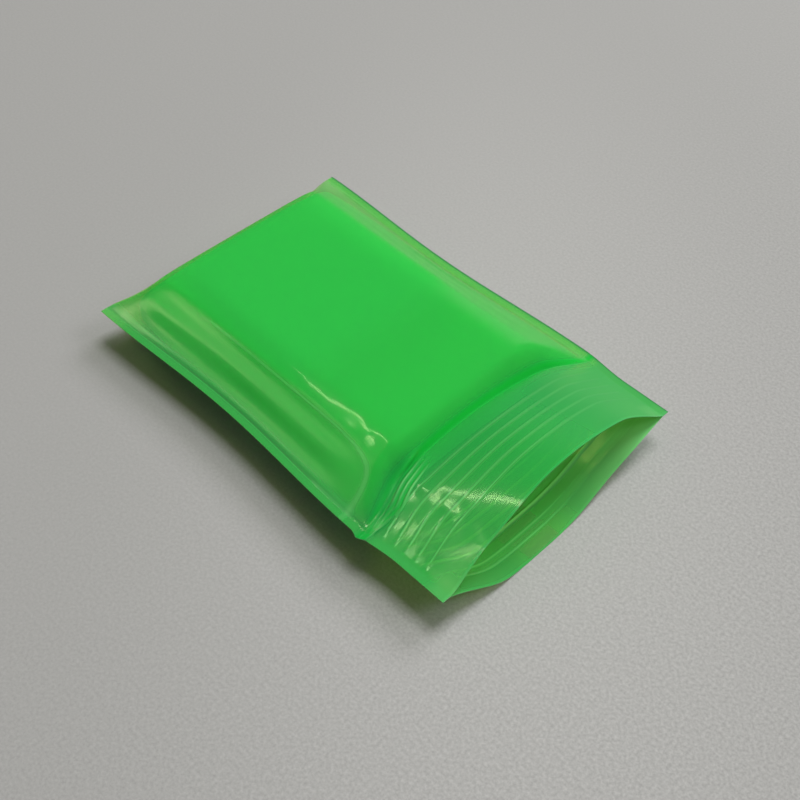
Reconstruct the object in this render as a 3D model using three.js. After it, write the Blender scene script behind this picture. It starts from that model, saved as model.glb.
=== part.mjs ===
// Small grip-seal bag of clear green film, lying on its back with its mouth open.
// Millimetres, +Z up. +X runs from the folded end to the mouth, and +Y runs across the bag.
// A place on the film is given by u, measured across the flat bag from its middle,
// and v, measured along the flat bag from the fold.

import * as THREE from 'three';
import { ParametricGeometry } from 'three/addons/geometries/ParametricGeometry.js';
import { mergeGeometries, mergeVertices } from 'three/addons/utils/BufferGeometryUtils.js';

const { clamp, lerp, smoothstep } = THREE.MathUtils;

// The flat bag
const BAG_WIDTH = 60;
const BAG_LENGTH = 90;
const FILM = 0.1;
const WELD_WIDTH = 1.5;

// The zipper ribs on the inside of the two walls
const RIB_COUNT = 5;
const RIB_PITCH = 2.3;
const RIB_WIDTH = 0.9;
const RIB_CREST = 0.4;
const RIB_HEIGHT = 0.5;
const RIB_TO_MOUTH = 6.2;
const RIB_TO_NECK = 4.6;
const RIB_FADE = 2.4;

// The contents, and the slack film that runs from their edges to the seams
const CONTENTS_THICKNESS = 13.2;
const CONTENTS_GAP = 0.3;
const CONTENTS_INSET = 0.6;
const CONTENTS_RIM_TO_SEAM = 2.4;
const CONTENTS_RIM_TO_NECK = 3;
const CONTENTS_NECK_SLACK = 3;
const CONTENTS_HIP_SHARPNESS = 2;
const SIDE_SLACK = 11.3;
const END_SLACK = 7.6;
const NECK_SLACK = 5;
const SHOULDER_ROUND = 0.35;
const HIP_SHARPNESS = 5;

// The front wall over the seam, at the crease behind the contents and at the mouth
const NECK_RISE = 3.8;
const MOUTH_RISE = 8;
const NECK_BOW = 2.2;
const NECK_CURVE = 1.6;

// How far the filling and the open mouth draw the film from its flat place
const CORNER_PULL = 0.64;
const BODY_PULL = 1.96;
const MOUTH_PULL = 1.5;
const WELD_SHORTENING = 0.7;
const FOLD_PULL = 2.3;
const END_PULL = 3.4;
const NECK_PULL = 1;
const LIP_PULL = 0.4;
const BACK_LIP_REACH = 2.3;
const BACK_LIP_SLACK_LEFT = 3;
const BACK_LIP_SLACK_RIGHT = 6;

// Values that follow from these
const HALF_WIDTH = BAG_WIDTH / 2;
const POCKET_HALF = HALF_WIDTH - WELD_WIDTH;
const LIP_LENGTH = RIB_TO_MOUTH + RIB_PITCH * (RIB_COUNT - 1) + RIB_TO_NECK;
const NECK = BAG_LENGTH - LIP_LENGTH;
const NECK_START = NECK - NECK_SLACK;
const RISE = CONTENTS_THICKNESS / 2 + CONTENTS_GAP;
const SEAM_HEIGHT = RISE + FILM;
const FRONT = 1;
const BACK = -1;

// Lower of two shares, with a round of the given width where they meet
function roundedMin(a, b, round) {
  const h = clamp(0.5 + 0.5 * (b - a) / round, 0, 1);
  return lerp(b, a, h) - round * h * (1 - h);
}

// Share of the full rise: 0 on the welds and the fold, 1 over the contents
function pillow(u, v, sideSlack) {
  const fromEnd = v / END_SLACK;
  const fromSide = (POCKET_HALF - Math.abs(u)) / sideSlack;
  if (fromEnd <= 0 || fromSide <= 0) return 0;
  const tent = (fromEnd ** -HIP_SHARPNESS + fromSide ** -HIP_SHARPNESS) ** (-1 / HIP_SHARPNESS);
  return roundedMin(tent, 1, SHOULDER_ROUND);
}

// Where the crease behind the contents crosses this line of the front wall
function creaseAt(u) {
  return NECK + NECK_BOW * Math.min(Math.abs(u) / POCKET_HALF, 1) ** 2;
}

// Share of the way from the filled body down to the lip
function neckShare(u, v) {
  return clamp((v - creaseAt(u) + NECK_SLACK) / NECK_SLACK, 0, 1) ** NECK_CURVE;
}

// How far a weld is drawn in towards the middle
function weldPull(v) {
  const besideContents = 0.5 - 0.5 * Math.cos(2 * Math.PI * Math.min(v / NECK, 1));
  const atLip = smoothstep(v, NECK, NECK + LIP_LENGTH / 2);
  return CORNER_PULL + (BODY_PULL - CORNER_PULL) * besideContents + (MOUTH_PULL - CORNER_PULL) * atLip;
}

function weldX(v) {
  return (v / BAG_LENGTH - 0.5) * (BAG_LENGTH - WELD_SHORTENING);
}

// The middle line of either wall, drawn in where the film climbs over the contents
function middleX(v, wall) {
  const filled = FOLD_PULL - BAG_LENGTH / 2 + v - END_PULL * roundedMin(v / END_SLACK, 1, SHOULDER_ROUND);
  if (wall === BACK) return filled + BACK_LIP_REACH * smoothstep(v, NECK / 2, BAG_LENGTH);
  return filled - NECK_PULL * smoothstep(v, NECK_START, NECK) - LIP_PULL * smoothstep(v, NECK, BAG_LENGTH);
}

// Flat width of a wall's slope beside the contents, which grows towards the open back lip
function slopeSlack(u, v, wall) {
  if (wall === FRONT) return SIDE_SLACK;
  const lipSlack = u < 0 ? BACK_LIP_SLACK_LEFT : BACK_LIP_SLACK_RIGHT;
  return SIDE_SLACK + lipSlack * smoothstep(v, NECK_START, BAG_LENGTH);
}

// A point on the inner face of a wall
function wallPoint(u, v, wall) {
  const across = Math.min(Math.abs(u), POCKET_HALF);
  const slack = slopeSlack(u, v, wall);
  const neck = wall === FRONT ? neckShare(u, v) : 0;
  const body = RISE * pillow(u, v, slack);
  const crease = creaseAt(u);
  const lipTravel = clamp((v - crease) / (BAG_LENGTH - crease), 0, 1);
  const lip = lerp(NECK_RISE, MOUTH_RISE, lipTravel) * (1 - (across / POCKET_HALF) ** 2);
  const slopeTravel = clamp((across - POCKET_HALF + slack) / slack, 0, 1);
  const drawn = weldPull(v) * lerp(slopeTravel, (across / POCKET_HALF) ** 3, neck);
  const toMiddle = smoothstep(POCKET_HALF - across, 0, slack);
  return new THREE.Vector3(
    lerp(weldX(v), middleX(v, wall), toMiddle),
    Math.sign(u) * (Math.abs(u) - drawn),
    SEAM_HEIGHT + wall * lerp(body, lip, neck),
  );
}

// Outward direction of a wall, from the film's slope across and along the bag
function wallNormal(u, v, wall) {
  const step = BAG_WIDTH / 1000;
  const v0 = clamp(v - step, 0, BAG_LENGTH);
  const v1 = clamp(v + step, 0, BAG_LENGTH);
  const along = wallPoint(u, v1, wall).sub(wallPoint(u, v0, wall));
  const across = wallPoint(u + step, v, wall).sub(wallPoint(u - step, v, wall));
  return along.cross(across).multiplyScalar(wall).normalize();
}

// The front ribs lie a pitch apart, and those of the back wall lie between them
function ribCentres(wall) {
  const count = wall === FRONT ? RIB_COUNT : RIB_COUNT - 1;
  const first = BAG_LENGTH - RIB_TO_MOUTH - (wall === FRONT ? 0 : RIB_PITCH / 2);
  return Array.from({ length: count }, (_, i) => first - i * RIB_PITCH);
}

// Height of the rib at this place, flattened where the welds press the two walls together
function ribHeight(u, v, wall) {
  const offset = Math.min(...ribCentres(wall).map((centre) => Math.abs(v - centre)));
  const flank = (RIB_WIDTH - RIB_CREST) / 2;
  const profile = clamp((RIB_WIDTH / 2 - offset) / flank, 0, 1);
  return RIB_HEIGHT * profile * clamp((POCKET_HALF - Math.abs(u)) / RIB_FADE, 0, 1);
}

function innerPoint(u, v, wall) {
  return wallPoint(u, v, wall).addScaledVector(wallNormal(u, v, wall), -ribHeight(u, v, wall));
}

function outerPoint(u, v, wall) {
  return wallPoint(u, v, wall).addScaledVector(wallNormal(u, v, wall), FILM);
}

// Lines along the bag, closer together on the slopes and shoulders than over the middle
function acrossStations() {
  const slope = [0, 0.22, 0.44, 0.66, 0.84, 1, 1.2, 1.4].map((share) => POCKET_HALF - share * SIDE_SLACK);
  const half = [...slope, slope.at(-1) / 2];
  return [...half.map((u) => -u), 0, ...half.reverse()];
}

// Lines across the bag: the end slope, the body, the neck, the ribs if wanted, and the mouth
function alongStations(withRibs) {
  const end = [0, 0.3, 0.6, 0.85, 1.1, 1.4].map((share) => share * END_SLACK);
  const neck = [1.3, 1, 0.75, 0.5, 0.25, 0].map((share) => NECK - share * NECK_SLACK);
  const bodyStep = (neck[0] - end.at(-1)) / 4;
  const body = [1, 2, 3].map((i) => end.at(-1) + i * bodyStep);
  const edges = [-RIB_WIDTH / 2, -RIB_CREST / 2, RIB_CREST / 2, RIB_WIDTH / 2];
  const centres = [...ribCentres(FRONT), ...ribCentres(BACK)];
  const ribs = centres.flatMap((centre) => edges.map((edge) => centre + edge)).sort((a, b) => a - b);
  const lip = [0.25, 0.5, 0.75].map((share) => NECK + share * LIP_LENGTH);
  return [...end, ...body, ...neck, ...(withRibs ? ribs : lip), BAG_LENGTH];
}

// The lines across the bag bow with the crease, and are straight again at the first rib
function bowed(u, v) {
  const behind = smoothstep(v, NECK_START - NECK_SLACK, NECK_START);
  const ahead = 1 - clamp((v - NECK) / (RIB_TO_NECK - RIB_WIDTH / 2), 0, 1);
  return v + (creaseAt(u) - NECK) * Math.min(behind, ahead);
}

// A patch through a grid of points, which faces along (first direction) x (second direction)
function patch(firstCount, secondCount, pointAt) {
  const pick = (share, count) => Math.round(share * (count - 1));
  const place = (first, second, target) => {
    target.copy(pointAt(pick(first, firstCount), pick(second, secondCount)));
  };
  return new ParametricGeometry(place, firstCount - 1, secondCount - 1);
}

// Joins patches at their shared edges, and leaves out triangles that have shrunk to a line
function closedShell(patches) {
  patches.forEach((geometry) => {
    geometry.deleteAttribute('normal');
    geometry.deleteAttribute('uv');
  });
  const shell = mergeVertices(mergeGeometries(patches), FILM / 50);
  const corners = Array.from(shell.index.array);
  const kept = corners.flatMap((_, i) => {
    if (i % 3 !== 0) return [];
    const [a, b, c] = corners.slice(i, i + 3);
    return a === b || b === c || c === a ? [] : [a, b, c];
  });
  shell.setIndex(kept);
  shell.computeVertexNormals();
  return shell;
}

// The film: an outer and an inner skin, the folded edge, and the cut edge round the mouth
function bagGeometry() {
  const pocket = acrossStations();
  const full = [-HALF_WIDTH, ...pocket, HALF_WIDTH];
  const round = (stations) => [
    ...stations.map((u) => ({ u, wall: FRONT })),
    ...stations.toReversed().map((u) => ({ u, wall: BACK })),
  ];
  const outerRing = round(full);
  outerRing.push(outerRing[0]);
  const innerRing = round(pocket);
  const outerRows = alongStations(false);
  const innerRows = alongStations(true);
  const outerAt = ({ u, wall }, v) => outerPoint(u, bowed(u, v), wall);
  const innerAt = ({ u, wall }, v) => innerPoint(u, bowed(u, v), wall);
  const pressed = ({ u, wall }) => ({ u: clamp(u, -POCKET_HALF, POCKET_HALF), wall });

  const outerSkin = patch(outerRows.length, outerRing.length, (i, j) => outerAt(outerRing[j], outerRows[i]));
  const innerSkin = patch(innerRing.length, innerRows.length, (i, j) => innerAt(innerRing[i], innerRows[j]));
  const fold = patch(full.length, 2, (i, j) => outerAt({ u: full[i], wall: j === 0 ? FRONT : BACK }, 0));
  const mouth = patch(outerRing.length, 2, (i, j) => {
    const place = outerRing[i];
    return j === 0 ? innerAt(pressed(place), BAG_LENGTH) : outerAt(place, BAG_LENGTH);
  });
  return closedShell([outerSkin, innerSkin, fold, mouth]);
}

// Share of the contents' full rise, which stays a little inside that of the film
function contentsShare(u, v) {
  const inside = CONTENTS_THICKNESS / 2 / RISE;
  const fromSide = (POCKET_HALF - CONTENTS_INSET - Math.abs(u)) / (SIDE_SLACK * inside);
  const fromEnd = (v - CONTENTS_INSET) / (END_SLACK * inside);
  const fromNeck = (NECK - CONTENTS_RIM_TO_NECK + CONTENTS_INSET - v) / CONTENTS_NECK_SLACK;
  const tent = [fromSide, fromEnd, fromNeck].reduce((sum, way) => sum + way ** -CONTENTS_HIP_SHARPNESS, 0);
  return roundedMin(tent ** (-1 / CONTENTS_HIP_SHARPNESS), 1, SHOULDER_ROUND);
}

// The contents fill the body of the bag: a block drawn out thin to a blunt rim along the welds and the fold
function contentsMesh() {
  const halfWidth = POCKET_HALF - CONTENTS_RIM_TO_SEAM;
  const block = new THREE.BoxGeometry(2, 2, 2, 26, 26, 1);
  const corners = block.getAttribute('position');
  for (let i = 0; i < corners.count; i += 1) {
    const u = corners.getY(i) * halfWidth;
    const v = lerp(CONTENTS_RIM_TO_SEAM, NECK - CONTENTS_RIM_TO_NECK, (corners.getX(i) + 1) / 2);
    const { x, y } = wallPoint(u, v, FRONT);
    const rise = CONTENTS_THICKNESS / 2 * contentsShare(u, v);
    corners.setXYZ(i, x, y, SEAM_HEIGHT + rise * corners.getZ(i));
  }
  const material = new THREE.MeshStandardMaterial({ color: 0x5ed785, roughness: 0.8, metalness: 0 });
  const mesh = new THREE.Mesh(closedShell([block]), material);
  mesh.name = 'contents';
  return mesh;
}

function bagMesh() {
  const material = new THREE.MeshStandardMaterial({
    color: 0x32bd48,
    roughness: 0.2,
    metalness: 0,
    transparent: true,
    opacity: 0.6,
    side: THREE.DoubleSide,
  });
  const mesh = new THREE.Mesh(bagGeometry(), material);
  mesh.name = 'bag';
  return mesh;
}

// The origin is under the middle of the whole bag, on the surface it lies on
const zipperBag = new THREE.Group();
zipperBag.add(bagMesh(), contentsMesh());
zipperBag.position.x = -new THREE.Box3().setFromObject(zipperBag).getCenter(new THREE.Vector3()).x;

export default zipperBag;
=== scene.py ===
import math

import bpy
import numpy as np
from mathutils import Matrix, Vector


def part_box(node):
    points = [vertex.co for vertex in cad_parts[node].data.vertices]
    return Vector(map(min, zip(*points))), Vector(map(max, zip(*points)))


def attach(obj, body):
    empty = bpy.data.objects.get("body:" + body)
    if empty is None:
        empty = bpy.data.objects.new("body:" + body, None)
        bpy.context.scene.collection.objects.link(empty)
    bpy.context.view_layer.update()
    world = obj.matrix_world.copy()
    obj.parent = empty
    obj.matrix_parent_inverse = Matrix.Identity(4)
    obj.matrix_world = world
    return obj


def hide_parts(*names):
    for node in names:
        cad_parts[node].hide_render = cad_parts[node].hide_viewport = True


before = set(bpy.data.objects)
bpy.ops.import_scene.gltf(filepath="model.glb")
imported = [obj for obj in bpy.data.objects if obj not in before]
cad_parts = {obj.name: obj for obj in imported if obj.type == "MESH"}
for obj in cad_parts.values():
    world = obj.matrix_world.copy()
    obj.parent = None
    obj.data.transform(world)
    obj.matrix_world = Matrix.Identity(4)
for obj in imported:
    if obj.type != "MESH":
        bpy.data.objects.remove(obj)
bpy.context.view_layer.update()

# The view. The bag is seen from above its mouth and its left weld, as in the photograph,
# with a moderate lens and a camera that is tipped very slightly to one side.
VIEW_AZIMUTH = math.radians(44.44)
VIEW_ELEVATION = math.radians(48.61)
VIEW_ROLL = math.radians(1.64)
VIEW_DISTANCE = 0.21886
VIEW_CENTRE = Vector((0.00926, -0.00401, 0.007))
LENS_MM = 55.47
SENSOR_MM = 36
NEAREST_SEEN = 0.01

to_camera = Vector((
    math.sin(VIEW_AZIMUTH) * math.cos(VIEW_ELEVATION),
    -math.cos(VIEW_AZIMUTH) * math.cos(VIEW_ELEVATION),
    math.sin(VIEW_ELEVATION),
))
level_right = Vector((math.cos(VIEW_AZIMUTH), math.sin(VIEW_AZIMUTH), 0))
level_up = to_camera.cross(level_right)
camera_right = math.cos(VIEW_ROLL) * level_right + math.sin(VIEW_ROLL) * level_up
camera_up = to_camera.cross(camera_right)

bpy.ops.object.select_all(action="DESELECT")
bpy.ops.object.camera_add()
camera = bpy.context.object
camera.name = "camera"
camera.data.lens = LENS_MM
camera.data.sensor_width = SENSOR_MM
camera.data.clip_start = NEAREST_SEEN
camera_turn = Matrix((camera_right, camera_up, to_camera)).transposed().to_4x4()
camera.matrix_world = Matrix.Translation(VIEW_CENTRE + VIEW_DISTANCE * to_camera) @ camera_turn
bpy.context.scene.camera = camera
bpy.context.scene.view_settings.view_transform = "Standard"


# The lights. A broad lamp overhead and two windows, at the bag's right side and beyond its mouth, give a
# plain level of soft light. Three small warm lamps beyond the folded end give the film its glints, and
# pale parts of the room's walls and ceiling give it soft bands of reflected light.
def soft_lamp(name, place, size, power, tilt=0, turn=0, colour=(1.0, 1.0, 1.0), mirrored=True):
    """A flat lamp that shines down unless it is tilted, and that gloss reflects only if mirrored is set."""
    bpy.ops.object.light_add(type="AREA", location=place)
    lamp = bpy.context.object
    lamp.name = name
    lamp.rotation_euler = (math.radians(tilt), 0, math.radians(turn))
    lamp.data.shape = "RECTANGLE"
    lamp.data.size, lamp.data.size_y = size
    lamp.data.energy = power
    lamp.data.color = colour
    lamp.visible_glossy = mirrored


WARM = (1.0, 0.93, 0.70)
LAMP_SIZE = (0.6, 0.6)
WINDOW_SIZE = (0.7, 0.6)

soft_lamp("overhead", (0, 0.44, 1.54), LAMP_SIZE, power=14.6, tilt=-16, mirrored=False)
soft_lamp("side_window", (0, 1.19, 1.07), WINDOW_SIZE, power=11.0, tilt=-48, mirrored=False)
soft_lamp("front_window", (0.87, 0.73, 1.13), WINDOW_SIZE, power=6.5, tilt=-45, turn=-50, mirrored=False)
soft_lamp("near_tube", (-0.61, 0.03, 1), size=(0.28, 0.04), power=0.30, colour=WARM)
soft_lamp("far_tube", (-0.395, -0.16, 1), size=(0.03, 0.14), power=0.13, colour=WARM)
soft_lamp("end_lamp", (-0.41, -0.35, 1), size=(0.05, 0.03), power=0.05, colour=WARM)


class Socket:
    """One output in a node tree. Sums on it add Math nodes, and node() adds any other node."""

    def __init__(self, tree, output=None):
        self.tree = tree
        self.output = output

    def node(self, kind, settings=None, inputs=None, out=0):
        made = self.tree.nodes.new(kind)
        for name, value in (settings or {}).items():
            setattr(made, name, value)
        for name, value in (inputs or {}).items():
            if isinstance(value, Socket):
                self.tree.links.new(value.output, made.inputs[name])
            else:
                made.inputs[name].default_value = value
        return Socket(self.tree, made.outputs[out] if made.outputs else None)

    def sum_with(self, operation, first, second):
        return self.node("ShaderNodeMath", {"operation": operation}, {0: first, 1: second})

    def __add__(self, other):
        return self.sum_with("ADD", self, other)

    def __sub__(self, other):
        return self.sum_with("SUBTRACT", self, other)

    def __rsub__(self, other):
        return self.sum_with("SUBTRACT", other, self)

    def __mul__(self, other):
        return self.sum_with("MULTIPLY", self, other)

    __radd__ = __add__
    __rmul__ = __mul__


def eased(value, start, end, low=0.0, high=1.0):
    """A value that goes smoothly from low to high while another goes from start to end."""
    return value.node(
        "ShaderNodeMapRange", {"interpolation_type": "SMOOTHSTEP"},
        {"Value": value, "From Min": start, "From Max": end, "To Min": low, "To Max": high})


def blend(share, first, second):
    """A colour that goes from the first to the second with a share. 6, 7 and 2 are Mix's colour sockets."""
    return share.node("ShaderNodeMix", {"data_type": "RGBA"}, {"Factor": share, 6: first, 7: second}, 2)


ROOM_SHADE = (0.030, 0.030, 0.030, 1)
WALL_LIGHT = (0.45, 0.45, 0.46, 1)
WALL_DIRECTION = (-0.55, 0.83, 0.0)
WALL_SPREAD = (0.79, 0.99)
SIDE_LIGHT = (0.22, 0.22, 0.20, 1)
SIDE_DIRECTION = (-0.46, -0.55, 0.70)
SIDE_SPREAD = (0.90, 0.98)
BAND_LIGHT = (0.90, 0.88, 0.70, 1)
BAND_DIRECTION = (-0.551, -0.429, 0.716)
BAND_SPREAD = (0.992, 0.9995)
CORNER_LIGHT = (2.2, 2.1, 1.5, 1)
CORNER_DIRECTION = (-0.621, -0.501, 0.603)
CORNER_SPREAD = (0.995, 0.9995)

world = bpy.data.worlds.new("room")
bpy.context.scene.world = world
world.use_nodes = True
world.node_tree.nodes.clear()
room = Socket(world.node_tree)
direction = room.node("ShaderNodeTexCoord", out="Generated")


def room_part(rest, colour, towards, spread):
    """The room's light, changed smoothly to a colour in the part that lies towards a direction."""
    nearness = room.node(
        "ShaderNodeVectorMath", {"operation": "DOT_PRODUCT"}, {0: direction, 1: towards}, "Value")
    return blend(eased(nearness, *spread), rest, colour)


room_light = room_part(ROOM_SHADE, WALL_LIGHT, WALL_DIRECTION, WALL_SPREAD)
room_light = room_part(room_light, SIDE_LIGHT, SIDE_DIRECTION, SIDE_SPREAD)
room_light = room_part(room_light, BAND_LIGHT, BAND_DIRECTION, BAND_SPREAD)
room_light = room_part(room_light, CORNER_LIGHT, CORNER_DIRECTION, CORNER_SPREAD)
background = room.node("ShaderNodeBackground", None, {"Color": room_light})
room.node("ShaderNodeOutputWorld", None, {"Surface": background})

# The table. A plain grey matt top with a fine speckle, on which the bag lies. The speckle shows more
# on the mouth's side, and the grey is painted a little darker away from the middle: a painted pool of
# light round the bag, with painted shade towards the edges.
TABLE_WIDTH = 3.0
TABLE_PALE = (0.51, 0.505, 0.489, 1)
TABLE_DARK = (0.374, 0.370, 0.358, 1)
TABLE_SHADE = 0.14
TABLE_ROUGHNESS = 0.6
SPECKLE_SCALE = 1800.0
SPECKLE_DETAIL = 3.0
SPECKLE_ROUGHNESS = 0.7
SPECKLE_MEAN = 0.5
FAINT_GRAIN = 0.8
STRONG_GRAIN = 3.0
GRAIN_SPAN = (-0.06, 0.10)
LIGHT_POOL_CENTRE = (0.03, 0.0, 0.0)
LIGHT_POOL_SIZE = (0.08, 0.18, 1.0)
BLACK = (0, 0, 0, 1)


def new_material(name):
    material = bpy.data.materials.new(name)
    material.use_nodes = True
    material.node_tree.nodes.clear()
    return material, Socket(material.node_tree)


bpy.ops.object.select_all(action="DESELECT")
bpy.ops.mesh.primitive_plane_add(size=TABLE_WIDTH)
table = bpy.context.object
table.name = "table"

table_paint, paint = new_material("table_top")
place = paint.node("ShaderNodeTexCoord", out="Object")
speckle = paint.node(
    "ShaderNodeTexNoise", None,
    {"Vector": place, "Scale": SPECKLE_SCALE, "Detail": SPECKLE_DETAIL, "Roughness": SPECKLE_ROUGHNESS},
    "Fac")
place_x = paint.node("ShaderNodeSeparateXYZ", None, {"Vector": place}, "X")
grain = eased(place_x, *GRAIN_SPAN, FAINT_GRAIN, STRONG_GRAIN)
table_colour = blend((speckle - SPECKLE_MEAN) * grain + SPECKLE_MEAN, TABLE_DARK, TABLE_PALE)
# Painted shade: the grey darkens away from a pool of light round the bag.
from_light_pool = paint.node(
    "ShaderNodeMapping", {"vector_type": "TEXTURE"},
    {"Vector": place, "Location": LIGHT_POOL_CENTRE, "Rotation": (0, 0, VIEW_AZIMUTH), "Scale": LIGHT_POOL_SIZE})
distance = paint.node("ShaderNodeVectorMath", {"operation": "LENGTH"}, {0: from_light_pool}, "Value")
table_colour = blend(eased(distance, 0.0, 1.0, high=TABLE_SHADE), table_colour, BLACK)
table_top = paint.node(
    "ShaderNodeBsdfPrincipled", None, {"Base Color": table_colour, "Roughness": TABLE_ROUGHNESS})
paint.node("ShaderNodeOutputMaterial", None, {"Surface": table_top})
table.data.materials.append(table_paint)

# The bag. One sheet of clear green film, folded at the closed end and welded along both sides, with zipper
# ribs drawn along the inside of its two walls near the open mouth. Its places are those on the flat bag:
# u goes across from the middle line, and v goes along from the fold to the mouth.
BAG_WIDTH = 0.060
BAG_LENGTH = 0.090
FILM = 0.0001
WELD_WIDTH = 0.0015
RIB_COUNT = 5
RIB_PITCH = 0.0023
RIB_WIDTH = 0.0009
RIB_CREST = 0.0004
RIB_HEIGHT = 0.0005
RIB_TO_MOUTH = 0.0062
RIB_TO_NECK = 0.0046
RIB_FADE = 0.0024
SIDE_SLACK = 0.0113
END_SLACK = 0.0076
NECK_SLACK = 0.0055
NECK_SLACK_LEFT = 0.005
NECK_LEFT_SPAN = (0.006, 0.016)
SHOULDER_ROUND = 0.35
HIP_SHARPNESS = 5
NECK_RISE = 0.0038
MOUTH_RISE = 0.008
NECK_BOW = 0.0022
NECK_CURVE = 1.8
CORNER_PULL = 0.00064
BODY_PULL = 0.00196
MOUTH_PULL = 0.0015
LIP_PULL_CURVE = 3
WELD_SHORTENING = 0.0007
FOLD_PULL = 0.0023
END_PULL = 0.0034
NECK_PULL = 0.001
LIP_PULL = 0.0004
PINCH = 0.0006
PINCH_PLACE = 0.0716
PINCH_WIDTH = 0.0010
PINCH_SPAN = (0.026, 0.0295)
BACK_LIP_REACH = 0.0023
BACK_LIP_SLACK_LEFT = 0.003
BACK_LIP_SLACK_RIGHT = 0.013
BACK_LIP_DRAWN_IN = 0.0009
DRAWN_IN_PLACE = 0.014
DRAWN_IN_WIDTH = 0.010
LEFT_LIP_REACH = 0.0011
LEFT_LIP_PLACE = -0.018
LEFT_LIP_WIDTH = 0.012
LEFT_LIP_FLATNESS = 1.5
WALL_GAP = 0.00001
FOLD_ROUND = 0.0005
TINY = 1e-6

bag_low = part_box("bag")[0]
filling_low, filling_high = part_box("contents")
SEAM_HEIGHT = (filling_low.z + filling_high.z) / 2
WELD_START_X = bag_low.x
HALF_WIDTH = BAG_WIDTH / 2
POCKET_HALF = HALF_WIDTH - WELD_WIDTH
LIP_LENGTH = RIB_TO_MOUTH + RIB_PITCH * (RIB_COUNT - 1) + RIB_TO_NECK
NECK = BAG_LENGTH - LIP_LENGTH
NECK_START = NECK - NECK_SLACK
FRONT = 1
BACK = -1


def mix(a, b, share):
    return a + (b - a) * share


def ramp(value, low, high):
    share = np.clip((value - low) / (high - low), 0, 1)
    return share * share * (3 - 2 * share)


def bump(value, centre, width):
    return np.exp(-((value - centre) / width) ** 2)


def rounded_min(a, b, width):
    h = np.clip(0.5 + 0.5 * (b - a) / width, 0, 1)
    return mix(b, a, h) - width * h * (1 - h)


def pillow(u, v, side_slack):
    """Share of the full rise: 0 on the welds and the fold, 1 over the contents."""
    from_end = np.maximum(v / END_SLACK, TINY)
    from_side = np.maximum((POCKET_HALF - np.abs(u)) / side_slack, TINY)
    tent = (from_end ** -HIP_SHARPNESS + from_side ** -HIP_SHARPNESS) ** (-1 / HIP_SHARPNESS)
    return rounded_min(tent, 1.0, SHOULDER_ROUND)


def crease_at(u):
    return NECK + NECK_BOW * np.minimum(np.abs(u) / POCKET_HALF, 1) ** 2


def weld_pull(v):
    beside_contents = 0.5 - 0.5 * np.cos(2 * np.pi * np.minimum(v / NECK, 1))
    at_lip = ramp(v, NECK, NECK + LIP_LENGTH / 2)
    return CORNER_PULL + (BODY_PULL - CORNER_PULL) * beside_contents + (MOUTH_PULL - CORNER_PULL) * at_lip


def film_point(u, v, wall):
    """A point of the film's outer face, from its place on the flat bag."""
    across = np.minimum(np.abs(u), POCKET_HALF)
    crease = crease_at(u)
    end_share = rounded_min(v / END_SLACK, 1.0, SHOULDER_ROUND)
    middle_x = FOLD_PULL - WELD_SHORTENING / 2 + v - END_PULL * end_share
    on_lip = ramp(v, NECK, BAG_LENGTH)
    slack = SIDE_SLACK
    neck = 0 * v
    if wall == FRONT:
        neck_slack = mix(NECK_SLACK, NECK_SLACK_LEFT, ramp(-u, *NECK_LEFT_SPAN))
        neck = np.clip((v - crease + neck_slack) / neck_slack, 0, 1) ** NECK_CURVE
        middle_x = middle_x - NECK_PULL * ramp(v, NECK_START, NECK) - LIP_PULL * on_lip
        middle_x = middle_x + LEFT_LIP_REACH * bump(u, LEFT_LIP_PLACE, LEFT_LIP_WIDTH) * on_lip
    else:
        lip_slack = np.where(u < 0, BACK_LIP_SLACK_LEFT, BACK_LIP_SLACK_RIGHT)
        slack = SIDE_SLACK + lip_slack * ramp(v, NECK_START, BAG_LENGTH)
        middle_x = middle_x + BACK_LIP_REACH * ramp(v, NECK / 2, BAG_LENGTH)
        middle_x = middle_x - BACK_LIP_DRAWN_IN * bump(u, DRAWN_IN_PLACE, DRAWN_IN_WIDTH) * on_lip
    lip_travel = np.clip((v - crease) / (BAG_LENGTH - crease), 0, 1)
    flatness = mix(1, np.where(u < 0, LEFT_LIP_FLATNESS, 1), lip_travel)
    lip = mix(NECK_RISE, MOUTH_RISE, lip_travel) * (1 - (across / POCKET_HALF) ** 2) ** flatness
    layer = (FILM + WALL_GAP) * np.clip(v / FOLD_ROUND, 0, 1)
    body = (SEAM_HEIGHT - layer) * pillow(u, v, slack)
    slope_travel = np.clip((across - POCKET_HALF + slack) / slack, 0, 1)
    drawn = weld_pull(v) * mix(slope_travel, (across / POCKET_HALF) ** LIP_PULL_CURVE, neck)
    to_middle = ramp(POCKET_HALF - across, 0, slack)
    weld_x = v * (1 - WELD_SHORTENING / BAG_LENGTH)
    x = WELD_START_X + mix(weld_x, middle_x, to_middle)
    pinched = PINCH * bump(v, PINCH_PLACE, PINCH_WIDTH) * ramp(-u, *PINCH_SPAN)
    y = np.sign(u) * (np.abs(u) - drawn + pinched)
    z = SEAM_HEIGHT + wall * (layer + mix(body, lip, neck))
    return np.stack([x, y, z], axis=-1)


def rib_centres(wall):
    count = RIB_COUNT if wall == FRONT else RIB_COUNT - 1
    first = BAG_LENGTH - RIB_TO_MOUTH - (0 if wall == FRONT else RIB_PITCH / 2)
    return [first - i * RIB_PITCH for i in range(count)]


def rib_share(u, v, wall):
    """Share of a rib's height: 1 on its crest, 0 between the ribs and at their ends."""
    offset = np.min([np.abs(v - centre) for centre in rib_centres(wall)], axis=0)
    flank = (RIB_WIDTH - RIB_CREST) / 2
    profile = np.clip((RIB_WIDTH / 2 - offset) / flank, 0, 1)
    return profile * np.clip((POCKET_HALF - np.abs(u)) / RIB_FADE, 0, 1)


WAVE_COUNT = 4
WAVE_TURN = 2.4
WAVE_STRETCH = 0.23
WAVE_SHIFT = 1.7


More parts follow.
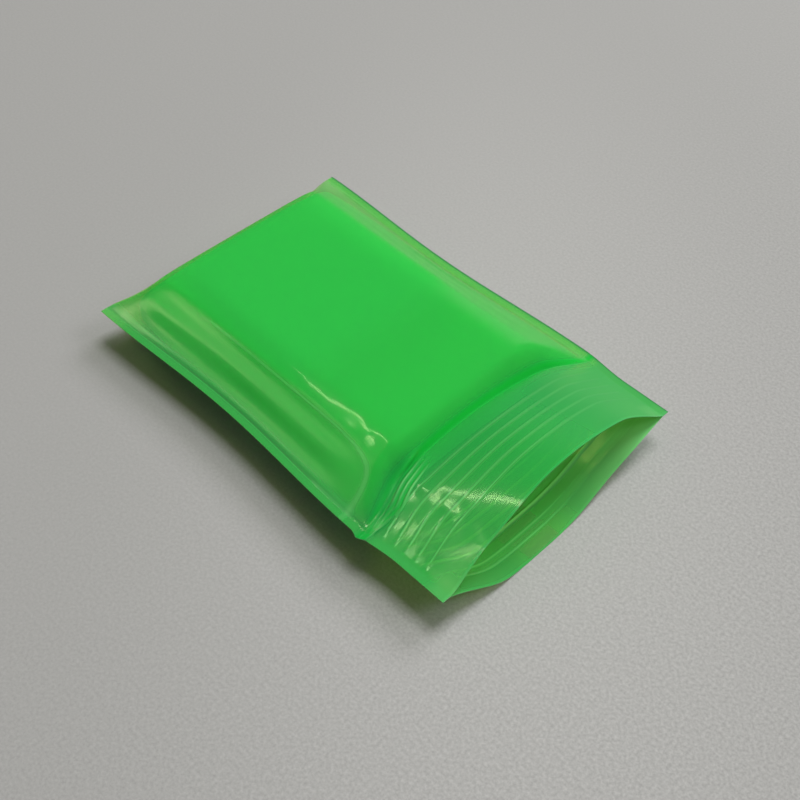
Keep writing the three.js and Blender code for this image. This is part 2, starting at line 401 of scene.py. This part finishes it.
def ripple(u, v, length, heading):
    """An uneven ripple between -1 and 1, of a few waves that cross each other."""
    total = 0
    for i in range(WAVE_COUNT):
        way = heading + WAVE_TURN * i
        reach = length * (1 + WAVE_STRETCH * i)
        total = total + np.sin(2 * np.pi * (u * np.cos(way) + v * np.sin(way)) / reach + WAVE_SHIFT * i)
    return total / WAVE_COUNT


FAN_RIDGES = (-0.00065, 0.0005, 0.0014, 0.0024)
FAN_FURROWS = (-0.0001, 0.00095, 0.0019)
FAN_PLACE = 0.0722
FAN_LEAN = 0.2
FAN_LEAN_START = -0.022
FAN_OPENING = 0.008
FAN_ROOT_SHARE = 0.3
FAN_SPAN = (0.010, 0.015)


def fan(u, v, offsets, width):
    """The small folds that run from the pinched weld along the left of the neck, one for each offset."""
    spread = np.clip((u + HALF_WIDTH) / FAN_OPENING, FAN_ROOT_SHARE, 1)
    middle = FAN_PLACE - FAN_LEAN * np.maximum(u - FAN_LEAN_START, 0)
    return sum(bump(v, middle + offset * spread, width) for offset in offsets) * ramp(-u, *FAN_SPAN)


SLOPE_FOLD_REACH = 0.01054
SLOPE_FOLD_PLACE = 0.040
SLOPE_FOLD_HALF_LENGTH = 0.027
SLOPE_FOLD_SQUARENESS = 6
SLOPE_FOLD_WIDTH = 0.025
SLOPE_FOLD_START = (0.016, 0.026)


def slope_fold_highlight(u, v):
    """The line of a thin fold along the left slope, which turns back to the weld before the neck; only a
    painted highlight, with no fold in the shape.
    """
    across = np.abs((HALF_WIDTH + u) / SLOPE_FOLD_REACH)
    along = np.abs((v - SLOPE_FOLD_PLACE) / SLOPE_FOLD_HALF_LENGTH)
    reach = across ** SLOPE_FOLD_SQUARENESS + along ** SLOPE_FOLD_SQUARENESS
    return bump(reach ** (1 / SLOPE_FOLD_SQUARENESS), 1, SLOPE_FOLD_WIDTH) * ramp(v, *SLOPE_FOLD_START)


BODY_START = (0.004, 0.014)
BODY_END = (0.056, 0.066)
LEFT_WANDER = 0.0003
RIGHT_WANDER = 0.0004
WANDER_LENGTH = 0.03
TERRACE_PITCH = 0.0050
TERRACE_FIRST = 0.0030
TERRACE_START = (0.001, 0.003)
LEFT_TERRACE = 0.000105
LEFT_TERRACE_END = (0.0112, 0.0132)
LEFT_TERRACE_MEAN = 0.95
LEFT_TERRACE_CHANGE = 0.25
LEFT_TERRACE_CHANGE_LENGTH = 0.019
RIGHT_TERRACE = 0.00004
RIGHT_TERRACE_END = (0.009, 0.012)
WELD_GROOVE = 0.00001
WELD_GROOVE_PLACE = 0.0017
WELD_GROOVE_WIDTH = 0.0003
SHOULDER_FRET = 0.00009
SHOULDER_FRET_LENGTH = 0.004
SHOULDER_PLACE = 0.013
SHOULDER_WIDTH = 0.002
SHOULDER_FRET_START = (0.03, 0.05)
CREASE_DEPTH = 0.00022
CREASE_WIDTH = 0.00030
EAR_FOLD = 0.00010
EAR_FOLD_LENGTH = 0.007
EAR_PLACE = 0.003
EAR_WIDTH = 0.005
EAR_LENGTH = 0.006
LIP_WAVE = 0.00005
LIP_WAVE_LENGTH = 0.016
LIP_WAVE_START = (NECK + 0.002, NECK + 0.005)
LIP_WAVE_FADE = 0.006
RIB_MARK = 0.000022


def front_wrinkles(u, v):
    """Height of the small folds of the front wall over its smooth shape."""
    body = ramp(v, *BODY_START) * (1 - ramp(v, *BODY_END))
    left = HALF_WIDTH + u + LEFT_WANDER * ripple(u, v, WANDER_LENGTH, heading=0.4)
    right = HALF_WIDTH - u + RIGHT_WANDER * ripple(u, v, WANDER_LENGTH, heading=1.1)
    on_left = ramp(left, *TERRACE_START) * (1 - ramp(left, *LEFT_TERRACE_END))
    on_right = ramp(right, *TERRACE_START) * (1 - ramp(right, *RIGHT_TERRACE_END))
    turn = 2 * np.pi / TERRACE_PITCH
    change = LEFT_TERRACE_CHANGE * ripple(u, v, LEFT_TERRACE_CHANGE_LENGTH, heading=1.2)
    uneven = LEFT_TERRACE_MEAN + change
    height = -LEFT_TERRACE * uneven * np.sin(turn * (left - TERRACE_FIRST)) * on_left * body
    height -= RIGHT_TERRACE * np.sin(turn * (right - TERRACE_FIRST)) * on_right * body
    height -= WELD_GROOVE * bump(left, WELD_GROOVE_PLACE, WELD_GROOVE_WIDTH) * body
    at_shoulder = bump(left, SHOULDER_PLACE, SHOULDER_WIDTH) * ramp(v, *SHOULDER_FRET_START)
    height += SHOULDER_FRET * ripple(u, v, SHOULDER_FRET_LENGTH, heading=0.9) * at_shoulder
    height += CREASE_DEPTH * (fan(u, v, FAN_RIDGES, CREASE_WIDTH) - fan(u, v, FAN_FURROWS, CREASE_WIDTH))
    at_ear = bump(left, EAR_PLACE, EAR_WIDTH) * bump(v, EAR_PLACE, EAR_LENGTH)
    height += EAR_FOLD * ripple(u, v, EAR_FOLD_LENGTH, heading=0.2) * at_ear
    on_lip = ramp(v, *LIP_WAVE_START) * ramp(POCKET_HALF - np.abs(u), 0, LIP_WAVE_FADE)
    height += LIP_WAVE * ripple(u, v, LIP_WAVE_LENGTH, heading=0.3) * on_lip
    return height - RIB_MARK * rib_share(u, v, FRONT)


GUIDE_LINES = (0.0852, 0.0867)
GUIDE_WIDTH = 0.00016
GUIDE_FADE = 0.004


def guide_lines(u, v):
    """Two fine lines drawn along the inside of the back lip, beside its ribs."""
    lines = sum(bump(v, line, GUIDE_WIDTH) for line in GUIDE_LINES)
    return lines * ramp(POCKET_HALF - np.abs(u), 0, GUIDE_FADE)


def back_wrinkles(u, v):
    return -RIB_MARK * (rib_share(u, v, BACK) + guide_lines(u, v))


def stations(*stretches):
    """Places along a line, from stretches of (start, end, number of steps) that follow each other."""
    runs = [np.linspace(start, end, steps, endpoint=False) for start, end, steps in stretches]
    return np.concatenate(runs + [[stretches[-1][1]]])


NECK_ZONE = NECK_START - NECK_SLACK


def bowed(u, v):
    """Rows of the front wall, bowed near the neck so that one of them follows its crease."""
    behind = ramp(v, NECK_ZONE, NECK_START)
    ahead = 1 - np.clip((v - NECK) / (RIB_TO_NECK - RIB_WIDTH / 2), 0, 1)
    return v + (crease_at(u) - NECK) * np.minimum(behind, ahead)


SLOPE_MARGIN = 1.4
END_MARGIN = 1.5
GUIDE_MARGIN = 0.0005
SLOPE_EDGE = POCKET_HALF - SLOPE_MARGIN * SIDE_SLACK
END_ZONE = END_MARGIN * END_SLACK
RIB_ZONE = NECK + RIB_TO_NECK - RIB_WIDTH
RIB_END = BAG_LENGTH - RIB_TO_MOUTH + RIB_WIDTH
GUIDE_END = GUIDE_LINES[-1] + GUIDE_MARGIN

half_columns = stations((0, SLOPE_EDGE, 12), (SLOPE_EDGE, POCKET_HALF, 42), (POCKET_HALF, HALF_WIDTH, 5))
columns = np.concatenate([-half_columns[:0:-1], half_columns])
front_rows = stations((0, END_ZONE, 24), (END_ZONE, NECK_ZONE, 40), (NECK_ZONE, RIB_ZONE, 96),
                      (RIB_ZONE, RIB_END, 66), (RIB_END, BAG_LENGTH, 8))
back_rows = stations((0, END_ZONE, 20), (END_ZONE, NECK_START, 30), (NECK_START, RIB_ZONE, 32),
                     (RIB_ZONE, RIB_END, 66), (RIB_END, GUIDE_END, 16), (GUIDE_END, BAG_LENGTH, 5))
rows = np.concatenate([front_rows[::-1], -back_rows[1:]])

bpy.ops.object.select_all(action="DESELECT")
bpy.ops.mesh.primitive_grid_add(x_subdivisions=len(columns) - 1, y_subdivisions=len(rows) - 1, size=1)
bag = bpy.context.object
bag.name = "film_bag"
flat = np.empty(len(bag.data.vertices) * 3)
bag.data.vertices.foreach_get("co", flat)
flat = flat.reshape(-1, 3) + 0.5
column_of = np.rint(flat[:, 0] * (len(columns) - 1)).astype(int)
row_of = np.rint(flat[:, 1] * (len(rows) - 1)).astype(int)

u_grid, row_grid = np.meshgrid(columns, rows, indexing="ij")
on_front = row_grid >= 0
v_grid = np.where(on_front, bowed(u_grid, row_grid), -row_grid)
film = np.where(on_front[..., None], film_point(u_grid, v_grid, FRONT), film_point(u_grid, v_grid, BACK))
rib_grid = np.where(on_front, rib_share(u_grid, v_grid, FRONT), rib_share(u_grid, v_grid, BACK))
wrinkle_grid = np.where(on_front, front_wrinkles(u_grid, v_grid), back_wrinkles(u_grid, v_grid))
outward = np.cross(np.gradient(film, axis=0), np.gradient(film, axis=1))
outward /= np.linalg.norm(outward, axis=-1, keepdims=True)
film = film + outward * wrinkle_grid[..., None]
bag.data.vertices.foreach_set("co", film[column_of, row_of].ravel())
bag.data.update()

# Where the film's look changes, from its place on the flat bag.
LIP_START = (0.0002, 0.0025)
WELD_BLUR = 0.0004
LEFT_SLOPE = (0.016, 0.020)
SLOPE_NECK_END = (-0.006, -0.001)
CORNER_SIDE = (0.003, 0.009)
FOLD_CORNER = (0.003, 0.010)
MOUTH_CORNER = (0.084, 0.088)
BACK_RIM = (0.0858, 0.0872)
BACK_RIGHT_END = (0.016, 0.026)
BACK_MIDDLE = -0.003
BACK_MIDDLE_SPAN = (0.002, 0.010)

from_edge = HALF_WIDTH - np.abs(u_grid)
past_crease = v_grid - crease_at(u_grid)
at_lip = ramp(past_crease, *LIP_START)
on_weld = ramp(-from_edge, -WELD_WIDTH - WELD_BLUR, -WELD_WIDTH)
on_left_slope = ramp(-u_grid, *LEFT_SLOPE) * (1 - ramp(past_crease, *SLOPE_NECK_END))
at_end = np.maximum(1 - ramp(v_grid, *FOLD_CORNER), ramp(v_grid, *MOUTH_CORNER))
at_corner = (1 - ramp(from_edge, *CORNER_SIDE)) * at_end
on_back_rim = ramp(v_grid, *BACK_RIM) * (1 - ramp(u_grid, *BACK_RIGHT_END))
off_middle = ramp(np.abs(u_grid - BACK_MIDDLE), *BACK_MIDDLE_SPAN)

# The cut edge of the mouth, and the film that is dull, on the lip or pressed on the filling.
CUT_EDGE = 0.0004
PRESSED_SIDE = (0.009, 0.012)
PRESSED_END = (0.040, 0.052)
LIP_DULLNESS = 0.6
DULL_SPAN = (-0.004, 0.012)

cut_grid = ramp(v_grid, BAG_LENGTH - CUT_EDGE, BAG_LENGTH)
pressed = ramp(from_edge, *PRESSED_SIDE) * (1 - ramp(v_grid, *PRESSED_END))
dull_lip = LIP_DULLNESS * at_lip * ramp(u_grid, *DULL_SPAN)
slick_grid = 1 - np.maximum(pressed, np.where(on_front, dull_lip, 0))

# Pale lines along the ribs and the folds, and pale film on the lips, the corners and the welds. The front
# ribs are paler for their thicker film; the lines on the back ribs, the guide lines, the fan's ridges and
# the slope's fold are painted highlights, and the paler right of the front lip, the back lip, the corners
# and the welds are painted sheen and painted light.
RIB_LINE_POWER = 3
FRONT_RIB_SHOW = 0.35
FRONT_RIB_SHARE_RIGHT = 0.85
RIGHT_HALF = (0.0, 0.02)
RIGHT_LIP_SHEEN = 0.20
RIGHT_LIP_SPAN = (0.012, 0.024)
FOLD_HIGHLIGHT_WIDTH = 0.00018
FOLD_HIGHLIGHT_SPANS = ((-0.0175, 0.004), (-0.0275, 0.002))
SLOPE_FOLD_HIGHLIGHT = 0.36
GUIDE_HIGHLIGHT_LEFT = 0.85
GUIDE_HIGHLIGHT_RIGHT = 0.25
GUIDE_SPAN = (-0.004, 0.012)
BACK_LIP_LIGHT_LEFT = 0.24
BACK_LIP_LIGHT_RIGHT = 0.90
BACK_LIP_SPAN = (-0.003, 0.022)
CORNER_SHEEN = 0.45
WELD_LIGHT = 0.35
LEFT_WELD_LIGHT = 0.18

rib_line = rib_grid ** RIB_LINE_POWER
front_rib = FRONT_RIB_SHOW * mix(1, FRONT_RIB_SHARE_RIGHT, ramp(u_grid, *RIGHT_HALF)) * rib_line
painted_right_lip_sheen = RIGHT_LIP_SHEEN * at_lip * ramp(u_grid, *RIGHT_LIP_SPAN)
# Painted highlights along the fan's ridges and along the slope's fold line.
fold_highlight = fan(u_grid, v_grid, FAN_RIDGES, FOLD_HIGHLIGHT_WIDTH)
fold_highlight = fold_highlight * np.max([bump(u_grid, *stretch) for stretch in FOLD_HIGHLIGHT_SPANS], axis=0)
fold_highlight = np.maximum(fold_highlight, SLOPE_FOLD_HIGHLIGHT * slope_fold_highlight(u_grid, v_grid))
# Painted highlights along the back lip's guide lines, stronger on the left.
guide_highlight = mix(GUIDE_HIGHLIGHT_LEFT, GUIDE_HIGHLIGHT_RIGHT, ramp(u_grid, *GUIDE_SPAN)) * guide_lines(u_grid, v_grid)
painted_back_lip_light = mix(BACK_LIP_LIGHT_LEFT, BACK_LIP_LIGHT_RIGHT, ramp(u_grid, *BACK_LIP_SPAN)) * at_lip
front_pale_and_light = np.max([front_rib, painted_right_lip_sheen, fold_highlight], axis=0)
back_pale_and_light = np.max([rib_line, guide_highlight, painted_back_lip_light], axis=0)
painted_corner_sheen = CORNER_SHEEN * at_corner
weld_lightening = np.where(u_grid > 0, WELD_LIGHT, LEFT_WELD_LIGHT) * on_weld
pale_and_light_grid = np.max([np.where(on_front, front_pale_and_light, back_pale_and_light), painted_corner_sheen, weld_lightening], axis=0)

# Deep green in the neck's crease and in the furrows of the fan: painted shade where the film folds in.
NECK_CREASE_SHADE_PLACE = -0.0004
NECK_CREASE_SHADE_WIDTH = 0.0007
FURROW_SHADE = 0.7
FURROW_SHADE_WIDTH = 0.0003

neck_crease_shade = bump(past_crease, NECK_CREASE_SHADE_PLACE, NECK_CREASE_SHADE_WIDTH)
furrow_shading = FURROW_SHADE * fan(u_grid, v_grid, FAN_FURROWS, FURROW_SHADE_WIDTH)
crease_shade_grid = np.where(on_front, np.maximum(neck_crease_shade, furrow_shading), 0)

# Dark film on the right weld's outer bead, the lips, the left of the neck and the left weld. The right
# weld's bead is a thicker bead of film, painted darker as shade and on that side only; the rest is painted
# shade.
BEAD = 0.0004
RIGHT_LIP_SHADE = 0.32
RIGHT_SHADE_SPAN = (0.0, 0.016)
LEFT_NECK_SHADE = 0.45
LEFT_NECK_SHADE_SPAN = (0.010, 0.018)
LEFT_NECK_SHADE_WIDTH = 0.002
LEFT_WELD_SHADE = 0.14
BACK_RIM_SHADE = 0.32

bead_and_shade = np.where(u_grid > 0, 1 - np.clip(from_edge / BEAD, 0, 1), 0)
right_lip_shading = RIGHT_LIP_SHADE * ramp(u_grid, *RIGHT_SHADE_SPAN) * at_lip
left_neck_shading = LEFT_NECK_SHADE * ramp(-u_grid, *LEFT_NECK_SHADE_SPAN) * bump(past_crease, 0, LEFT_NECK_SHADE_WIDTH)
left_weld_shading = np.where(u_grid < 0, LEFT_WELD_SHADE, 0) * on_weld
front_shading = np.max([right_lip_shading, left_neck_shading, left_weld_shading], axis=0)
back_rim_shading = BACK_RIM_SHADE * on_back_rim * off_middle
shade_and_bead_grid = np.maximum(bead_and_shade, np.where(on_front, front_shading, back_rim_shading))

# The brighter green of the left slope, painted light where the slope faces away from the lamps, and the
# film that is milkier than the rest. The lips are milkier; the extra haze on the fold highlights, the back
# ribs' and guide lines' highlights, the right of the back lip and the gap beside the left weld is painted
# light.
SLOPE_LIGHT_SHARE = 0.6
SLOPE_WELD_SIDE = (0.0012, 0.0022)
WELD_GAP_LIGHT = 0.2
WELD_GAP_LIGHT_PLACE = 0.0021
WELD_GAP_LIGHT_WIDTH = 0.0007
LIP_HAZE = 0.06
FOLD_HIGHLIGHT_HAZE = 0.3
BACK_LIP_HAZE_LEFT = 0.08
BACK_LIP_HAZE_RIGHT = 0.40
BACK_HAZE_SPAN = (0.004, 0.028)
BACK_HIGHLIGHT_HAZE = 0.25
BACK_RIB_START = (0.0815, 0.0821)

slope_light_grid = np.where(on_front, SLOPE_LIGHT_SHARE * on_left_slope * ramp(from_edge, *SLOPE_WELD_SIDE), 0)
left_weld_gap_lightening = WELD_GAP_LIGHT * bump(HALF_WIDTH + u_grid, WELD_GAP_LIGHT_PLACE, WELD_GAP_LIGHT_WIDTH) * on_left_slope
front_milk_and_light = LIP_HAZE * at_lip + FOLD_HIGHLIGHT_HAZE * fold_highlight + left_weld_gap_lightening
back_haze_and_light = mix(BACK_LIP_HAZE_LEFT, BACK_LIP_HAZE_RIGHT, ramp(u_grid, *BACK_HAZE_SPAN)) * (1 - on_back_rim)
back_highlight = np.maximum(rib_line * ramp(v_grid, *BACK_RIB_START), guide_highlight)
milk_and_light_grid = np.where(on_front, front_milk_and_light, back_haze_and_light * at_lip + BACK_HIGHLIGHT_HAZE * back_highlight)

# These marks stand on the mesh, where the film's paint reads them. Besides the film's own haze, pale, deep,
# dark, slope and milk carry painted light, painted highlights and painted shade.
film_marks = {
    "cut": cut_grid, "slick": slick_grid, "pale": pale_and_light_grid, "deep": crease_shade_grid, "dark": shade_and_bead_grid,
    "slope": slope_light_grid, "milk": milk_and_light_grid,
}
for name, values in film_marks.items():
    mark = bag.data.attributes.new(name, "FLOAT", "POINT")
    mark.data.foreach_set("value", values[column_of, row_of])

# The film's thickness, which is greater along the ribs.
FILM_SMOOTH_ANGLE = math.radians(35)

ribs = bag.vertex_groups.new(name="ribs")
for corner, share in enumerate(rib_grid[column_of, row_of]):
    if share > 0:
        ribs.add([corner], float(share), "REPLACE")
thicken = bag.modifiers.new("film_and_ribs", "SOLIDIFY")
thicken.thickness = FILM + RIB_HEIGHT
thicken.offset = -1
thicken.vertex_group = ribs.name
thicken.thickness_vertex_group = FILM / (FILM + RIB_HEIGHT)
bpy.ops.object.modifier_apply(modifier=thicken.name)
bpy.ops.object.shade_smooth_by_angle(angle=FILM_SMOOTH_ANGLE)

FILM_TINT = (0.90, 0.98, 0.60, 1)
FILM_HAZE_COLOUR = (0.040, 0.66, 0.14, 1)
FILM_HAZE = 0.36
SLOPE_LIGHT_COLOUR = (0.036, 0.88, 0.15, 1)
PALE_AND_LIGHT_COLOUR = (0.30, 0.90, 0.30, 1)
PALE_AND_LIGHT_HAZE = 0.12
CREASE_SHADE_COLOUR = (0.004, 0.66, 0.05, 1)
SHADE_COLOUR = (0.01, 0.20, 0.05, 1)
SHADE_HAZE = 0.40
CUT_HAZE = 0.2
FILM_ROUGHNESS = 0.32
PRESSED_ROUGHNESS = 0.7
FILM_IOR = 1.7
SHEEN_IOR = 1.9
SHEEN_ROUGHNESS = 0.12


def marked(paint, name):
    """What a piece's own attribute says of a place on it."""
    return paint.node("ShaderNodeAttribute", {"attribute_name": name}, out="Fac")


film_paint, paint = new_material("green_film")
slick = marked(paint, "slick")
pale = marked(paint, "pale")
deep = marked(paint, "deep")
dark = marked(paint, "dark")
# The haze colour and the haze take in the marks' painted light and shade: a brighter green on the left
# slope, painted sheen and highlights from pale, and painted shade from deep and dark.
haze_colour = blend(marked(paint, "slope"), FILM_HAZE_COLOUR, SLOPE_LIGHT_COLOUR)
haze_colour = blend(pale, haze_colour, PALE_AND_LIGHT_COLOUR)
haze_colour = blend(deep, haze_colour, CREASE_SHADE_COLOUR)
haze_colour = blend(dark, haze_colour, SHADE_COLOUR)
haze = pale * PALE_AND_LIGHT_HAZE + marked(paint, "cut") * CUT_HAZE + (deep + dark) * SHADE_HAZE
haze = haze + marked(paint, "milk") + FILM_HAZE
roughness = slick * (FILM_ROUGHNESS - PRESSED_ROUGHNESS) + PRESSED_ROUGHNESS
clear = paint.node("ShaderNodeBsdfTransparent", None, {"Color": FILM_TINT})
gloss = paint.node(
    "ShaderNodeBsdfPrincipled", None,
    {"Base Color": haze_colour, "Roughness": roughness, "IOR": FILM_IOR,
     "Coat Weight": slick, "Coat IOR": SHEEN_IOR, "Coat Roughness": SHEEN_ROUGHNESS})
film_face = paint.node("ShaderNodeMixShader", None, {"Fac": haze, 1: clear, 2: gloss})
paint.node("ShaderNodeOutputMaterial", None, {"Surface": film_face})
bag.data.materials.append(film_paint)
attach(bag, "root")
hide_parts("bag")

# The contents. A soft green filling that lies loose in the bag and holds its two walls apart,
# pressed flat on top and drawn out thin towards the welds and the fold. Its left rim and its neck end are
# painted a lighter green, painted light where the film over them lies in shade.
FILLING_INSET = 0.0006
FILLING_RIM_TO_SEAM = 0.0009
FILLING_RIM_TO_NECK = 0.0004
FILLING_NECK_SLACK = 0.0012
FILLING_UNDER_FILM = 0.0004
FILLING_LEAST_RISE = 0.0001
FILLING_HIP_SHARPNESS = 2
FILLING_CORNER_ROUND = 0.45
FILLING_BOW_START = 0.5
FILLING_CUTS = 63
FILLING_SMOOTH_ANGLE = math.radians(50)
FILLING_RISE = (filling_high.z - filling_low.z) / 2


def filling_share(u, v):
    """Share of the filling's full rise, which stays a little inside that of the film."""
    inside = FILLING_RISE / SEAM_HEIGHT
    from_side = (POCKET_HALF - FILLING_INSET - np.abs(u)) / (SIDE_SLACK * inside)
    from_end = (v - FILLING_INSET) / (END_SLACK * inside)
    from_neck = (crease_at(u) - FILLING_RIM_TO_NECK + FILLING_INSET - v) / FILLING_NECK_SLACK
    tent = sum(way ** -FILLING_HIP_SHARPNESS for way in (from_side, from_end, from_neck))
    return rounded_min(tent ** (-1 / FILLING_HIP_SHARPNESS), 1.0, SHOULDER_ROUND)


def corner_round(across):
    """Share that is left of a block's width where its end corners are rounded."""
    return np.sqrt(1 - FILLING_CORNER_ROUND / 2 * across ** 2)


bpy.ops.object.select_all(action="DESELECT")
bpy.ops.mesh.primitive_cube_add(size=1)
filling = bpy.context.object
filling.name = "filling"
bpy.ops.object.mode_set(mode="EDIT")
bpy.ops.mesh.subdivide(number_cuts=FILLING_CUTS)
bpy.ops.object.mode_set(mode="OBJECT")
block = np.empty(len(filling.data.vertices) * 3)
filling.data.vertices.foreach_get("co", block)
block = 2 * block.reshape(-1, 3)
along, across, upward = block.T
fill_u = across * (POCKET_HALF - FILLING_RIM_TO_SEAM) * corner_round(np.minimum(along, 0))
along = along * corner_round(np.where(along < 0, across, 0))
fill_v = mix(FILLING_RIM_TO_SEAM, NECK - FILLING_RIM_TO_NECK, (along + 1) / 2)
fill_v = fill_v + (crease_at(fill_u) - NECK) * ramp(along, FILLING_BOW_START, 1)
shaped = film_point(fill_u, fill_v, FRONT)
room_to_film = np.maximum(shaped[:, 2] - SEAM_HEIGHT - FILLING_UNDER_FILM, FILLING_LEAST_RISE)
fill_rise = np.minimum(FILLING_RISE * filling_share(fill_u, fill_v), room_to_film)
shaped[:, 2] = SEAM_HEIGHT + upward * fill_rise
filling.data.vertices.foreach_set("co", shaped.ravel())
filling.data.update()
bpy.ops.object.shade_smooth_by_angle(angle=FILLING_SMOOTH_ANGLE)

FILLING_COLOUR = (0.07, 0.70, 0.19, 1)
FILLING_LIGHT_COLOUR = (0.10, 0.98, 0.34, 1)
FILLING_ROUGHNESS = 0.8
FILLING_GLOW = 1.0
FILLING_GLOW_RADIUS = (1, 1, 1)
FILLING_GLOW_DEPTH = 0.010
PAINTED_LIGHT_RIM = (0.7, 1.0)
PAINTED_LIGHT_RIM_SPAN = (-0.01, 0.02)
PAINTED_LIGHT_NECK_SHARE = 0.45
PAINTED_LIGHT_NECK_START = (0.040, 0.060)
PAINTED_LIGHT_NECK_RIGHT_END = (0.014, 0.022)

# Painted light: a lighter green along the left rim, where the rise is low, and towards the neck end except
# on the right, where the film over the filling lies in shade.
rim_painted_light = (1 - ramp(fill_rise / FILLING_RISE, *PAINTED_LIGHT_RIM)) * ramp(-fill_u, *PAINTED_LIGHT_RIM_SPAN)
neck_painted_light = ramp(fill_v, *PAINTED_LIGHT_NECK_START) * (1 - ramp(fill_u, *PAINTED_LIGHT_NECK_RIGHT_END))
filling_light = filling.data.attributes.new("filling_light", "FLOAT", "POINT")
filling_light.data.foreach_set("value", np.maximum(rim_painted_light, PAINTED_LIGHT_NECK_SHARE * neck_painted_light))

filling_paint, paint = new_material("green_filling")
filling_colour = blend(marked(paint, "filling_light"), FILLING_COLOUR, FILLING_LIGHT_COLOUR)
filling_face = paint.node(
    "ShaderNodeBsdfPrincipled", None,
    {"Base Color": filling_colour, "Roughness": FILLING_ROUGHNESS, "Subsurface Weight": FILLING_GLOW,
     "Subsurface Radius": FILLING_GLOW_RADIUS, "Subsurface Scale": FILLING_GLOW_DEPTH})
paint.node("ShaderNodeOutputMaterial", None, {"Surface": filling_face})
filling.data.materials.append(filling_paint)
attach(filling, "root")
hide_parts("contents")
